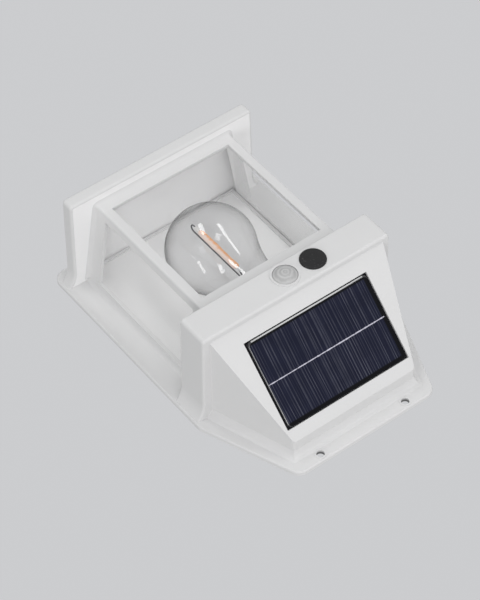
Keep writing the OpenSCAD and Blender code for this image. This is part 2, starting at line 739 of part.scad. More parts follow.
// One wire runs down the axis and loops forward to the filament's foot, one reaches its top
module bulb_wires() {
  loop_r = filament_out/2;
  start = neck_z - stem_l;
  loop_z = filament_z - stub_l;
  color("dimgray") {
    tube(concat([[0, -axis_d, start]],
      [for (i = [0:loop_steps]) let (a = 180*i/loop_steps)
        [0, -axis_d - loop_r*(1 - cos(a)), loop_z - loop_r*sin(a)]],
      [[0, -axis_d - filament_out, filament_z]]), wire_r);
    tube([[0, -axis_d - stem_r*0.6, start], [0, -axis_d - stem_r*0.6, start - stem_r/2],
      [0, -axis_d - filament_out, filament_z + filament_l + stem_r/2],
      [0, -axis_d - filament_out, filament_z + filament_l]], wire_r);
  }
}
module bulb_filament() {
  color("darkorange") box(-filament_w/2, filament_w/2, axis_d + filament_out - filament_t/2,
    axis_d + filament_out + filament_t/2, filament_z, filament_z + filament_l);
}
module bulb_cap() {
  steps = [for (i = [0:24]) i/24];
  z0 = neck_z;
  outer = [for (s = steps) [shell_r + thread_h*sin(360*s*shell_l/thread_pitch), z0 + shell_l*s]];
  color("silver") turned(concat([[shell_r - shell_t, z0]], outer,
    [[insul_r0, shell_z1], [insul_r0, shell_z1 - shell_t], [shell_r - shell_t, shell_z1 - shell_t]]));
}
module bulb_insulator() {
  color("black") turned([[0, shell_z1], [insul_r0, shell_z1], [insul_r1, shell_z1 + insul_l],
    [0, shell_z1 + insul_l]]);
}
module bulb_contact() {
  z = shell_z1 + insul_l;
  color("silver") turned([[0, z], [tip_r, z], [tip_r, z + tip_t/2], [tip_r/2, z + tip_t], [0, z + tip_t]]);
}

module panel_plate(side, end, low, high) {
  on_slant() translate([-panel_w/2 + side, panel_start + end, low])
    cube([panel_w - 2*side, panel_l - 2*end, high - low]);
}
panel_low = -recess_t + adhesive_t;
module panel_adhesive() {
  color("ivory") difference() {
    panel_plate(adhesive_in, adhesive_in, -recess_t, panel_low);
    panel_plate(adhesive_in + adhesive_w, adhesive_in + adhesive_w, -recess_t - over, panel_low + over);
  }
}
module panel_board() {
  color("#15151c") difference() {
    panel_plate(0, 0, panel_low, panel_low + panel_board_t);
    on_slant() for (x = [-1, 1]) translate([lead_hole_x + x*lead_gap/2, lead_hole_t, panel_low - over])
      cylinder(r = lead_r, h = panel_board_t/2 + over, $fn = small_fn);
  }
}
cell_low = panel_low + panel_board_t;
module panel_cells() {
  color("#1a2238") on_slant() for (i = [0:cell_count - 1])
    translate([-panel_w/2 + cell_side + cell_pitch*i + cell_gap/2, panel_start + cell_end, cell_low])
      cube([cell_pitch - cell_gap, panel_l - 2*cell_end, cell_t]);
}
module panel_ribbon() {
  color("silver") on_slant() for (i = [0:cell_count - 1])
    translate([-panel_w/2 + cell_side + cell_pitch*i + cell_gap/2,
      panel_start + panel_l/2 - ribbon_w/2, cell_low + cell_t])
      cube([cell_pitch - cell_gap, ribbon_w, ribbon_t]);
}
module panel_resin() {
  color([0.2, 0.24, 0.4, 0.4]) difference() {
    panel_plate(0, 0, cell_low + cell_t, cell_low + cell_t + resin_t);
    on_slant() translate([-panel_w/2 + cell_side, panel_start + panel_l/2 - ribbon_w/2, cell_low])
      cube([panel_w - 2*cell_side, ribbon_w, cell_t + ribbon_t]);
  }
}

dome_steps = 10;
dome_r = (lens_r*lens_r + lens_h*lens_h)/2/lens_h;
dome_mid = head_d + rim_h/2 + lens_h - dome_r;
dome_a = asin(lens_r/dome_r);
lens_back = front_in - lens_seal_t - lens_flange_t;
module sensor_lens() {
  function dome(inner) = [for (i = [0:dome_steps]) let (a = dome_a*i/dome_steps)
    [(dome_r - inner)*sin(a), dome_mid + (dome_r - inner)*cos(a)]];
  inside = dome(lens_wall);
  color([0.95, 0.95, 0.93, 0.9]) turned_d(0, control_z, concat(dome(0),
    [[lens_r, lens_back + lens_flange_t], [lens_flange_r, lens_back + lens_flange_t],
     [lens_flange_r, lens_back], [lens_r - lens_wall, lens_back]],
    [for (i = [dome_steps:-1:0]) [min(inside[i].x, lens_r - lens_wall), inside[i].y]]));
}
module lens_seal() {
  color("dimgray") turned_d(0, control_z, [[lens_r + lens_play, front_in - lens_seal_t],
    [lens_flange_r, front_in - lens_seal_t], [lens_flange_r, front_in], [lens_r + lens_play, front_in]]);
}
module sensor_sleeve() {
  color("white") turned_d(0, control_z, [[lens_flange_r - sleeve_wall, board_front], [lens_flange_r, board_front],
    [lens_flange_r, lens_back], [lens_flange_r - sleeve_wall, lens_back]]);
}
module sensor_can() {
  color("silver") turned_d(0, control_z, [[0, board_front], [can_r, board_front],
    [can_r, board_front + can_h], [0, board_front + can_h]]);
}
button_soft = 0.6;
// The cap is kept in its bore by two lugs behind the wall
module button_cap() {
  front = head_d + button_out;
  color("#1b1b1d") {
    turned_d(-button_shift, control_z, [[0, button_back], [button_r, button_back],
      [button_r, front - button_soft], [button_r - button_soft, front], [0, front]]);
    intersection() {
      bar_d(-button_shift, control_z, lug_r, button_back, button_back + lug_t, round_fn);
      box(-button_shift - lug_r, -button_shift + lug_r, button_back, button_back + lug_t,
        control_z - lug_w/2, control_z + lug_w/2);
    }
  }
}
// A frame from the front to the board, stepped where the button stands close to the floor
module button_guide() {
  left = -button_shift - guide_w;
  right = -button_shift + guide_w;
  color("#303033") difference() {
    box(left - guide_wall, right + guide_wall, board_front, front_in, guide_low, guide_high);
    box(left, right, board_front - over, front_in + over, guide_low + guide_wall, guide_high - guide_wall);
    box(left, right, button_back - button_travel - slip, front_in + over, guide_low - over,
      guide_high - guide_wall);
  }
}
module switch_plunger() {
  color("saddlebrown") bar_d(-button_shift, control_z, plunger_r, switch_front - plunger_in, button_back);
}
module switch_body() {
  color("#303033") difference() {
    box(-button_shift - switch_w/2, -button_shift + switch_w/2, board_front, switch_front,
      control_z - switch_w/2, control_z + switch_w/2);
    bar_d(-button_shift, control_z, plunger_r + running, switch_front - plunger_in - button_travel - seat,
      switch_front + over);
  }
}
module control_board() {
  color("darkgreen") difference() {
    box(-board_w/2, board_w/2, board_back, board_front, board_z0, board_z1);
    mirror_x() for (z = [board_z0 + board_hole_in, board_z1 - board_hole_in])
      bar_d(board_hole_x, z, screw_r + screw_play, board_back - over, board_front + over);
  }
}
// Parts on the board's back: x and z of the middle, width, height and thickness
chip_w = 5;
chip_t = 1.5;
coil_r = 3.4;
coil_h = 4.6;
plug_w = 7.5;
plug_t = 2.4;
plug_h = 4.6;
part_x = 26;
chip_x = 9;
plug_z = board_z1 - plug_h/2 - seat;
module board_parts() {
  mid = (board_z0 + board_z1)/2;
  color("#2a2a2c") {
    for (x = [-chip_x, chip_x]) box(x - chip_w/2, x + chip_w/2, board_back - chip_t, board_back,
      board_z0 + seat, board_z0 + seat + chip_w);
    bar_d(-part_x, board_z0 + coil_r + seat, coil_r, board_back - coil_h, board_back, round_fn);
    bar_d(part_x, board_z0 + coil_r + seat, coil_r, board_back - coil_h, board_back, round_fn);
    for (x = [-part_x, 0, part_x])
      box(x - plug_w/2, x + plug_w/2, board_back - plug_t, board_back, plug_z - plug_h/2, plug_z + plug_h/2);
  }
}
module board_screws() {
  color("silver") mirror_x() for (z = [board_z0 + board_hole_in, board_z1 - board_hole_in])
    turned_d(board_hole_x, z, [[0, board_back - screw_head_t], [screw_head_r, board_back - screw_head_t],
      [screw_head_r, board_back], [screw_r, board_back], [screw_r, front_in - 2*seat], [0, front_in - 2*seat]],
      small_fn);
}

module battery_cell() {
  nub_r = cell_r/3;
  color("steelblue") translate([0, -battery_d, battery_z]) rotate([0, 90, 0]) {
    translate([0, 0, -cell_l/2]) cylinder(r = cell_r, h = cell_l - contact_t, $fn = round_fn);
    translate([0, 0, cell_l/2 - contact_t]) cylinder(r = nub_r, h = contact_t, $fn = small_fn);
  }
}
module battery_tray() {
  color("#202022") difference() {
    union() {
      box(-tray_x, tray_x, cover_d, battery_d + tray_arm, battery_z - tray_half, battery_z + tray_half);
    }
    translate([-cell_l/2 - contact_gap - contact_t, -battery_d, battery_z]) rotate([0, 90, 0])
      cylinder(r = cell_r + cell_play, h = cell_l + 2*contact_gap + 2*contact_t, $fn = round_fn);
    box(-cell_l/2 - contact_gap - contact_t, cell_l/2 + contact_gap + contact_t, battery_d,
      battery_d + tray_arm + over, battery_z - cell_r - cell_play, battery_z + cell_r + cell_play);
    mirror_x() bar_d(tray_screw_x, battery_z, screw_r + screw_play, cover_d - over, cover_d + tray_base + over);
  }
}
module battery_contacts() {
  h = cell_r*1.2;
  color("silver") mirror_x() box(cell_l/2 + contact_gap, cell_l/2 + contact_gap + contact_t,
    battery_d - h/2, battery_d + h/2, battery_z - h/2, battery_z + h/2);
}
module tray_screws() {
  color("silver") mirror_x() screw_d(tray_screw_x, battery_z, head_sink, cover_t + tray_base - head_sink - seat/2);
}

// Leads: each pair ends on a plug of the board
plug_d = board_back - plug_t;
back = [0, 1, 0];
module panel_leads() {
  inward = [0, sin(slant_a), -cos(slant_a)];
  color("firebrick") for (x = [-lead_gap/2, lead_gap/2])
    tube(lead_path(slant_pt(lead_hole_x + x, lead_hole_t, panel_low + panel_board_t/2 - seat), inward,
      [part_x + x, -plug_d, plug_z], back), lead_r);
}
module battery_leads() {
  x = cell_l/2 + contact_gap + contact_t + lead_r;
  color("firebrick") mirror_x() tube(lead_path([x, -battery_d - tray_arm, battery_z], -back,
    [part_x + plug_w/2 - lead_r - slip, -plug_d, plug_z], back, cell_r + cell_play - tray_arm + lead_r), lead_r);
}
module lamp_leads() {
  color("firebrick") for (s = [-1, 1])
    tube(lead_path([s*contact_w, -axis_d - holder_in_r/2, holder_z1], [0, 0, 1],
      [s*lead_gap/2, -plug_d, plug_z], back), lead_r);
}

housing();
window_liner();
rear_cover();
rear_seal();
rear_cover_screws();
lamp_deck();
lamp_holder();
holder_screws();
holder_sleeve();
holder_contact();
bulb_glass();
bulb_stem();
bulb_wires();
bulb_filament();
bulb_cap();
bulb_insulator();
bulb_contact();
panel_board();
panel_cells();
panel_ribbon();
panel_resin();
panel_adhesive();
sensor_lens();
lens_seal();
sensor_sleeve();
sensor_can();
button_cap();
button_guide();
switch_plunger();
switch_body();
control_board();
board_parts();
board_screws();
battery_cell();
battery_tray();
battery_contacts();
tray_screws();
panel_leads();
battery_leads();
lamp_leads();
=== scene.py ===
# Solar fence light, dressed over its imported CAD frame. Settings are in millimetres and degrees, apart from
# the camera's and the studio's, which are in metres.
import bpy, bmesh, math
from mathutils import Matrix, Vector


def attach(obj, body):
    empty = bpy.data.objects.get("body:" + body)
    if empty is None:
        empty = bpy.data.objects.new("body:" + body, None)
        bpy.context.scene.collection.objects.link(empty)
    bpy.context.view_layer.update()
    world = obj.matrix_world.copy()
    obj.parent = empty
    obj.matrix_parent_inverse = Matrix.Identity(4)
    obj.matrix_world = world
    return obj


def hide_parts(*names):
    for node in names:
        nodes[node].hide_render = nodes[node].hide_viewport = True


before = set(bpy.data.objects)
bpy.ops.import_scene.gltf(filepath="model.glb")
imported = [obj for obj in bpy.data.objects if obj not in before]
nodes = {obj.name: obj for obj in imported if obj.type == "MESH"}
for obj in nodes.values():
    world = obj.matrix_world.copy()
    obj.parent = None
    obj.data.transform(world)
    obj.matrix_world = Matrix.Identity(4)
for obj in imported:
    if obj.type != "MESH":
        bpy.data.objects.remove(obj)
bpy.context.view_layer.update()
scene = bpy.context.scene
mm = 0.001             # a millimetre in metres
perMetre = 1000.0      # millimetres in a metre
poleRadius = 1e-7      # metres: a turned row narrower than this is one point
flatWeight = 90        # how far large faces rule the shading beside them, of 100


class Wire:
    # wraps a socket, so that sums on it add their Math nodes
    def __init__(self, paint, socket):
        self.paint, self.socket = paint, socket

    def math(self, operation, other=None, flipped=False):
        pair = [self] if other is None else ([other, self] if flipped else [self, other])
        return self.paint.put("ShaderNodeMath", {"operation": operation}, dict(enumerate(pair)))

    def __add__(self, other): return self.math("ADD", other)
    def __radd__(self, other): return self.math("ADD", other, True)
    def __sub__(self, other): return self.math("SUBTRACT", other)
    def __rsub__(self, other): return self.math("SUBTRACT", other, True)
    def __mul__(self, other): return self.math("MULTIPLY", other)
    def __rmul__(self, other): return self.math("MULTIPLY", other, True)
    def __truediv__(self, other): return self.math("DIVIDE", other)
    def __rtruediv__(self, other): return self.math("DIVIDE", other, True)
    def __pow__(self, other): return self.math("POWER", other)
    def __rpow__(self, other): return self.math("POWER", other, True)
    def __mod__(self, other): return self.math("FLOORED_MODULO", other)
    def __rmod__(self, other): return self.math("FLOORED_MODULO", other, True)
    def __gt__(self, other): return self.math("GREATER_THAN", other)
    def __lt__(self, other): return self.math("LESS_THAN", other)
    def __abs__(self): return self.math("ABSOLUTE")
    def __neg__(self): return self.math("MULTIPLY", -1.0)
    def sine(self): return self.math("SINE")
    def root(self): return self.math("SQRT")
    def most(self, other): return self.math("MAXIMUM", other)
    def least(self, other): return self.math("MINIMUM", other)
    def whole(self): return self.math("FLOOR")

    def offMiddle(self):
        # how far it is from the middle of its own whole step, 0 to 0.5
        return abs(self % 1.0 - 0.5)

    def span(self, low, high):
        # from low to high where this runs from 0 to 1
        return self * (high - low) + low

    def ramp(self, low, high, outLow=0.0, outHigh=1.0):
        # a smooth step from outLow to outHigh, where this runs from low to high
        return self.paint.put("ShaderNodeMapRange", {"interpolation_type": "SMOOTHSTEP", "clamp": True},
                              {0: self, 1: low, 2: high, 3: outLow, 4: outHigh})


class Paint:
    # the nodes of one material, or of the world: put() adds any node, its settings first, then its sockets'
    # values or links
    def __init__(self, name, world=False):
        self.owner = (bpy.data.worlds if world else bpy.data.materials).new(name)
        self.owner.use_nodes = True
        self.tree = self.owner.node_tree
        self.tree.nodes.clear()
        self.end = self.tree.nodes.new("ShaderNodeOutputWorld" if world else "ShaderNodeOutputMaterial")

    def put(self, kind, settings=None, sockets=None, out=0):
        node = self.tree.nodes.new(kind)
        for key, value in (settings or {}).items():
            setattr(node, key, value)
        for key, value in (sockets or {}).items():
            if isinstance(value, Wire):
                self.tree.links.new(value.socket, node.inputs[key])
            else:
                node.inputs[key].default_value = value
        return Wire(self, node.outputs[out])

    def spot(self):
        # where a point lies on the object, in metres
        return self.put("ShaderNodeTexCoord", out="Object")

    def axes(self, spot):
        # its x, y and z in millimetres
        return [self.put("ShaderNodeSeparateXYZ", {}, {0: spot}, axis) * perMetre for axis in range(3)]

    def noise(self, spot, step, detail):
        # step is the pattern's size in millimetres
        sockets = {"Vector": spot, "Scale": perMetre / step, "Detail": detail}
        return self.put("ShaderNodeTexNoise", {}, sockets)

    def dice(self, seed):
        # a value between 0 and 1 by chance, the same for the same seed
        return self.put("ShaderNodeTexWhiteNoise", {"noise_dimensions": "1D"}, {"W": seed}, "Value")

    def rays(self, *kinds):
        # 1 on the rays of these kinds
        total = None
        for kind in kinds:
            ray = self.put("ShaderNodeLightPath", out=kind)
            total = total.most(ray) if total else ray
        return total

    def mix(self, factor, first, second):
        return self.put("ShaderNodeMix", {"data_type": "RGBA"}, {0: factor, 6: first, 7: second}, out=2)

    def blend(self, factor, first, second):
        return self.put("ShaderNodeMixShader", {}, {0: factor, 1: first, 2: second})

    def bump(self, height, depth, normal=None):
        # depth in millimetres
        sockets = {"Height": height, "Distance": depth * mm, "Strength": 1.0}
        if normal:
            sockets["Normal"] = normal
        return self.put("ShaderNodeBump", {}, sockets)

    def surface(self, sockets):
        return self.put("ShaderNodeBsdfPrincipled", {}, sockets)

    def done(self, shader):
        self.tree.links.new(shader.socket, self.end.inputs["Surface"])
        return self.owner


def rgba(colour, times=1.0):
    return tuple(min(1.0, c * times) for c in colour) + (1.0,)


def newObject(name, data):
    made = bpy.data.objects.new(name, data)
    scene.collection.objects.link(made)
    return made


def wear(target, material, *others):
    # the object shows the first material all over, and the others wait for faces of their own
    target.data.materials.clear()
    for finish in (material, *others):
        target.data.materials.append(finish)
    for face in target.data.polygons:
        face.material_index = 0


def meshPiece(name, verts, faces, material, slotName, body="light", replaced=()):
    # a smooth piece that rides on a body, in place of the CAD nodes that it stands for
    mesh = bpy.data.meshes.new(name)
    mesh.from_pydata([tuple(v) for v in verts], [], faces)
    mesh.validate()
    piece = newObject(name, mesh)
    wear(piece, material)
    for face in mesh.polygons:
        face.use_smooth = True
    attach(piece, body)
    if replaced:
        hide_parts(*replaced)
    return piece


def turned(profile, origin, axis, steps):
    # profile of (radius, height) turned about an axis through origin; a radius of nought makes one point
    along = Vector(axis).normalized()
    side = along.orthogonal().normalized()
    other = along.cross(side)
    verts, faces, rows = [], [], []
    for radius, height in profile:
        count = steps if radius > poleRadius else 1
        rows.append([len(verts) + k % count for k in range(steps)])
        for k in range(count):
            a = 2 * math.pi * k / steps
            out = (side * math.cos(a) + other * math.sin(a)) * radius
            verts.append(Vector(origin) + along * height + out)
    for low, high in zip(rows, rows[1:]):
        for k in range(steps):
            n = (k + 1) % steps
            faces.append(tuple(dict.fromkeys((low[k], low[n], high[n], high[k]))))
    return verts, faces


def sharpenByAngle(mesh, degrees):
    # edges that turn more than this stay sharp, all others are shaded smooth
    bm = bmesh.new()
    bm.from_mesh(mesh)
    for face in bm.faces:
        face.smooth = True
    for edge in bm.edges:
        edge.smooth = edge.is_manifold and edge.calc_face_angle() < math.radians(degrees)
    bm.to_mesh(mesh)
    bm.free()


def weighNormals(piece):
    # large flat faces keep their flat shading beside small curved ones
    weigh = piece.modifiers.new("weighNormals", "WEIGHTED_NORMAL")
    weigh.weight, weigh.keep_sharp = flatWeight, True


def stand(target, place, x, y, z):
    # puts a camera or a lamp at a place, with its own axes along these
    target.matrix_world = Matrix.Translation(Vector(place)) @ Matrix((x, y, z)).transposed().to_4x4()


cameraSettings = {
    "place": (0.457895, -0.881930, 0.611598),
    "right": (-0.7955638971, 0.0151349157, 0.6056806253),
    "down": (0.4618042380, 0.6622674503, 0.5900327703),
    "ahead": (-0.3921924672, 0.7491146499, -0.5338654419),
    "lens": 151.78, "sensor": 36.0,   # millimetres, with the sensor's width along the frame's long side
    "clip": (0.01, 20.0),
}


def makeCamera(s):
    data = bpy.data.cameras.new("camera")
    data.sensor_width, data.lens = s["sensor"], s["lens"]
    data.clip_start, data.clip_end = s["clip"]
    camera = newObject("camera", data)
    right, down, ahead = (Vector(s[k]) for k in ("right", "down", "ahead"))
    stand(camera, s["place"], right, -down, -ahead)
    scene.camera = camera
    print("camera stands", round(Vector(s["place"]).length, 3), "m away")


makeCamera(cameraSettings)


studio = {
    "backdrop": (0.612, 0.618, 0.633),        # what the camera sees behind the object
    "world": 0.64,                            # strength of the even light from all round
    "floorLevel": -1.6, "floorHalf": 30.0,
    "floorShare": 0.06,                       # how much of the lit floor shows through the flat backdrop
    "floorTones": ((0.60, 0.61, 0.615), (0.63, 0.64, 0.645)), "floorRoughness": 0.9,
    "speckle": (60.0, 3.0),                   # step in millimetres, and detail
    "lamps": [
        # name, place, width and height, the way its height runs, power, colour
        ("keyLamp", (-0.555, -1.253, 0.160), (0.15, 0.80), (0.03, 0.05, 1.0), 2.1, (1.0, 1.0, 0.995)),
        ("arcLamp", (-0.759, -0.717, 0.897), (0.05, 1.05), (-0.24, 0.66, 0.33), 0.45, (1.0, 1.0, 1.0)),
        ("lowLamp", (0.248, -1.283, -0.470), (0.20, 0.76), (0.32, -0.21, 0.71), 3.1, (1.0, 1.0, 1.0)),
        ("skyLamp", (0.22, -0.92, 1.08), (0.70, 0.70), (0.0, 0.76, 0.65), 2.4, (0.968, 0.950, 1.0)),
        ("sideLamp", (1.05, -0.42, 0.86), (0.45, 0.50), (0.0, 0.0, 1.0), 2.8, (1.0, 1.0, 1.0)),
    ],
}


def makeStudio(s):
    shown = "Is Camera Ray", "Is Glossy Ray", "Is Transmission Ray"
    backdrop = rgba(s["backdrop"])
    sky = Paint("studioWorld", world=True)
    seen = sky.put("ShaderNodeBackground", {}, {0: backdrop, 1: 1.0})
    lit = sky.put("ShaderNodeBackground", {}, {0: (1, 1, 1, 1), 1: s["world"]})
    scene.world = sky.done(sky.blend(sky.rays(*shown), lit, seen))

    p = Paint("studioFloor")
    glow = p.put("ShaderNodeEmission", {}, {0: backdrop, 1: 1.0})
    speckle = p.mix(p.noise(p.spot(), *s["speckle"]), *(rgba(tone) for tone in s["floorTones"]))
    matt = p.surface({"Base Color": speckle, "Roughness": s["floorRoughness"]})
    half, level = s["floorHalf"], s["floorLevel"]
    corners = [(x * half, y * half, level) for x, y in ((-1, -1), (1, -1), (1, 1), (-1, 1))]
    mesh = bpy.data.meshes.new("floor")
    mesh.from_pydata(corners, [], [(0, 1, 2, 3)])
    floor = newObject("floor", mesh)
    floor.data.materials.append(p.done(p.blend(p.rays(*shown) * (1 - s["floorShare"]), matt, glow)))

    for name, place, size, upward, power, colour in s["lamps"]:
        data = bpy.data.lights.new(name, "AREA")
        data.shape, data.size, data.size_y = "RECTANGLE", *size
        data.energy, data.color = power, colour
        lamp = newObject(name, data)
        lamp.visible_camera = False
        back = Vector(place).normalized()   # it shines toward the origin
        side = Vector(upward).cross(back).normalized()
        stand(lamp, place, side, back.cross(side), back)
    scene.view_settings.view_transform = "Standard"
    print("studio lit by", len(s["lamps"]), "lamps")


makeStudio(studio)


# sizes of the part that the pieces below share
part = {
    "headDepth": 54.0, "headLow": 14.1, "headHigh": 31.4, "lanternDepth": 47.4, "lanternHalf": 37.8,
    "sideSlope": 0.168, "slantDepth": 51.0, "slantEndDepth": 11.9, "slantHeight": 41.2,
    "controlHeight": 22.3, "axisDepth": 24.15, "skirtDepth": 6.2,
    "holeAcross": 24.2, "holeHeight": 78.5, "holeRadius": 1.95,
}
slantRun = part["slantDepth"] - part["slantEndDepth"]
slantLength = math.hypot(part["slantHeight"], slantRun)
slantUp = (slantRun / slantLength, part["slantHeight"] / slantLength)   # y and z of a step up the slant


def onSlant(x, t, h):
    # a point at x, distance t up the slant and height h over it; millimetres in, metres out
    return Vector((x, -part["slantDepth"] + t * slantUp[0] - h * slantUp[1],
                   part["headHigh"] + t * slantUp[1] + h * slantUp[0])) * mm


# In the looks, a noise is its step and its detail, a ramp is where it starts and ends and any values there,
# rough is the range of roughness, tones are factors on a colour, and a depth is how far a bump stands out.
shellLook = {
    "colour": (0.750, 0.750, 0.749), "rough": (0.39, 0.53), "ior": 1.46,
    "cloud": (24.0, 3.0), "tones": (0.975, 1.02),
    "speck": (1.3, 1.0), "speckRamp": (0.78, 0.84), "speckShare": 0.35, "speckTone": 0.80,
    "grain": (0.45, 2.0), "grainDepth": 0.006, "flow": (7.0, 2.0), "flowDepth": 0.02,
}
# the lantern's inside: the shell's plastic painted whiter, as painted light where the room inside would
# render dim
innerLook = {**shellLook, "colour": (0.965, 0.965, 0.963), "rough": (0.53, 0.67)}


def shellPaint(name, s):
    # satin moulded plastic: a fine grain, a faint unevenness in tone and a few specks
    p = Paint(name)
    spot = p.spot()
    cloud, flow, grain, speck = (p.noise(spot, *s[k]) for k in ("cloud", "flow", "grain", "speck"))
    tone = p.mix(cloud, *(rgba(s["colour"], times) for times in s["tones"]))
    tone = p.mix(speck.ramp(*s["speckRamp"]) * s["speckShare"], tone, rgba(s["colour"], s["speckTone"]))
    return p.done(p.surface({"Base Color": tone, "Roughness": flow.span(*s["rough"]), "IOR": s["ior"],
                             "Normal": p.bump(grain, s["grainDepth"], p.bump(flow, s["flowDepth"]))}))


# inside is the whiter tone painted on the cover's face toward the room, as painted light
coverLook = {**shellLook, "rough": (0.43, 0.57), "inside": (0.89, 0.89, 0.888), "insideRamp": (1.3, 1.7)}


def coverPaint(s):
    # the rear cover: the shell's tone behind, and a whiter face toward the lantern's room, painted lighter as
    # painted light
    p = Paint("coverPaintedLight")
    spot = p.spot()
    x, y, z = p.axes(spot)
    flow, grain = p.noise(spot, *s["flow"]), p.noise(spot, *s["grain"])
    # tone: the cover's own tone, turning whiter toward the room as painted light
    tone = p.mix((-y).ramp(*s["insideRamp"]), rgba(s["colour"]), rgba(s["inside"]))
    return p.done(p.surface({"Base Color": tone, "Roughness": flow.span(*s["rough"]), "IOR": s["ior"],
                             "Normal": p.bump(grain, s["grainDepth"])}))


# the bores' own grey, and a dark grey painted in toward their backs as painted shade
boreLook = {"boreTone": (0.74, 0.74, 0.74), "shadeColour": (0.17, 0.17, 0.17), "front": 2.45, "shadeRamp": (0.5, 1.5),
            "boreNoise": (1.5, 2.0), "waver": 0.4, "rough": (0.5, 0.7)}


def borePaint(s):
    # the wall screw bores: their own grey at the front, darkened toward the back by painted shade
    p = Paint("boreGrey")
    spot = p.spot()
    x, y, z = p.axes(spot)
    boreNoise = p.noise(spot, *s["boreNoise"])
    # deep: where the painted shade lies, further into the bore, with a wavering edge
    deep = (y + s["front"] + (boreNoise - 0.5) * s["waver"]).ramp(*s["shadeRamp"])
    tone = p.mix(deep, rgba(s["boreTone"]), rgba(s["shadeColour"]))
    return p.done(p.surface({"Base Color": tone, "Roughness": boreNoise.span(*s["rough"])}))


clearLook = {
    "cloud": (16.0, 2.0), "facing": 0.5, "edgePower": 5.0, "mirrorSpread": 0.03, "rimRough": (0.3, 0.4),
    # the rim's dark grey is painted shade, standing in for the dark edge that refraction gives real glass
    "heavyLean": 0.3, "heavyRamp": (10.0, 28.0),   # the rim gains strength toward +x, along a leaning line
}
windowLook = {**clearLook, "tint": (0.985, 0.985, 0.985), "shine": 0.03, "edgeShine": 0.2,
              "roughness": 0.04, "wave": 0.01,
              "paintedRimShade": (0.30, 0.30, 0.30), "rimPower": 5.0, "rimShare": 0.35, "heavySide": 0.0}
globeLook = {**clearLook, "tint": (0.965, 0.965, 0.967), "shine": 0.07, "edgeShine": 0.1,
             "roughness": 0.02, "wave": 0.004,
             "paintedRimShade": (0.08, 0.08, 0.08), "rimPower": 3.4, "rimShare": 0.62, "heavySide": 0.9}


def clearPaint(name, s):
    # thin clear plastic or glass: light goes straight through, the face mirrors a little, and a dark grey is
    # painted over the rim as painted shade, heavier toward +x
    p = Paint(name)
    spot = p.spot()
    x, y, z = p.axes(spot)
    cloud = p.noise(spot, *s["cloud"])
    facing = p.put("ShaderNodeLayerWeight", {}, {"Blend": s["facing"]}, "Facing")
    seen = 1 - p.rays("Is Shadow Ray", "Is Diffuse Ray")
    wave = p.bump(cloud, s["wave"])
    free = p.put("ShaderNodeBsdfTransparent", {}, {0: rgba(s["tint"])})
    mirror = p.surface({"Base Color": (1, 1, 1, 1), "Metallic": 1.0, "Normal": wave,
                        "Roughness": cloud * s["mirrorSpread"] + s["roughness"]})
    rim = p.surface({"Base Color": rgba(s["paintedRimShade"]), "Normal": wave,
                     "Roughness": cloud.span(*s["rimRough"])})
    glossed = p.blend((facing ** s["edgePower"] * s["edgeShine"] + s["shine"]) * seen, free, mirror)
    # heavy and dark: the painted shade over the rim, stronger toward +x
    heavy = (x - z * s["heavyLean"]).ramp(*s["heavyRamp"]) * s["heavySide"] + 1
    dark = (facing ** s["rimPower"] * s["rimShare"] * heavy).least(1.0) * seen
    return p.done(p.blend(dark, glossed, rim))


plainLook = {"metallic": 0.0, "coat": 0.0, "cloud": (9.0, 3.0), "tones": (0.94, 1.06),
             "grain": (0.5, 2.0), "grainDepth": 0.003, "roughSpread": 0.06}
plainFinishes = {
    # colour, roughness, and what differs from the plain look
    "sealPale": ((0.80, 0.80, 0.80), 0.6, {"grain": (0.3, 2.0), "grainDepth": 0.01}),
    "zincSteel": ((0.62, 0.62, 0.64), 0.32, {"metallic": 1.0, "grain": (0.2, 2.0)}),
    "springBrass": ((0.72, 0.55, 0.28), 0.35, {"metallic": 1.0}),
    "dullWire": ((0.10, 0.10, 0.105), 0.5, {"metallic": 0.4}),
    "capMetal": ((0.72, 0.72, 0.73), 0.28, {"metallic": 1.0}),
    "blackGloss": ((0.02, 0.02, 0.022), 0.2, {}),
    "stubWhite": ((0.78, 0.77, 0.75), 0.7, {}),
    "panelBlack": ((0.012, 0.012, 0.016), 0.4, {}),
    "cellBlue": ((0.014, 0.017, 0.04), 0.3, {}),
    "ribbonMetal": ((0.80, 0.80, 0.85), 0.35, {"metallic": 0.3}),
    "glueIvory": ((0.7, 0.68, 0.62), 0.8, {}),
    "boardGreen": ((0.03, 0.16, 0.07), 0.3, {"coat": 0.3}),
    "partBlack": ((0.03, 0.03, 0.032), 0.5, {}),
    "cellWrap": ((0.05, 0.16, 0.38), 0.25, {}),
    "leadRed": ((0.45, 0.03, 0.02), 0.4, {}),
}


def plainPaint(name, colour, roughness, s):
    # one finish with a little variation in tone and roughness
    p = Paint(name)
    spot = p.spot()
    cloud, grain = p.noise(spot, *s["cloud"]), p.noise(spot, *s["grain"])
    tone = p.mix(cloud, *(rgba(colour, times) for times in s["tones"]))
    rough = grain.span(roughness - s["roughSpread"], roughness + s["roughSpread"])
    return p.done(p.surface({"Base Color": tone, "Roughness": rough, "Metallic": s["metallic"],
                             "Normal": p.bump(grain, s["grainDepth"]), "Coat Weight": s["coat"]}))


paints = {
    "shellWhite": shellPaint("shellWhite", shellLook), "innerPaintedLight": shellPaint("innerPaintedLight", innerLook),
    "coverPaintedLight": coverPaint(coverLook), "boreGrey": borePaint(boreLook),
    "clearPlastic": clearPaint("clearPlastic", windowLook), "bulbGlass": clearPaint("bulbGlass", globeLook),
}
for paintName, (ownColour, ownRoughness, changes) in plainFinishes.items():
    paints[paintName] = plainPaint(paintName, ownColour, ownRoughness, {**plainLook, **changes})
print("paints mixed:", len(paints))


# for the copies of CAD meshes: points closer than merge become one, flats that turn less than flatAngle are
# joined, and edges shorter than sliver go
cleaning = {"merge": 0.002, "flatAngle": 0.6, "sliver": 0.04}


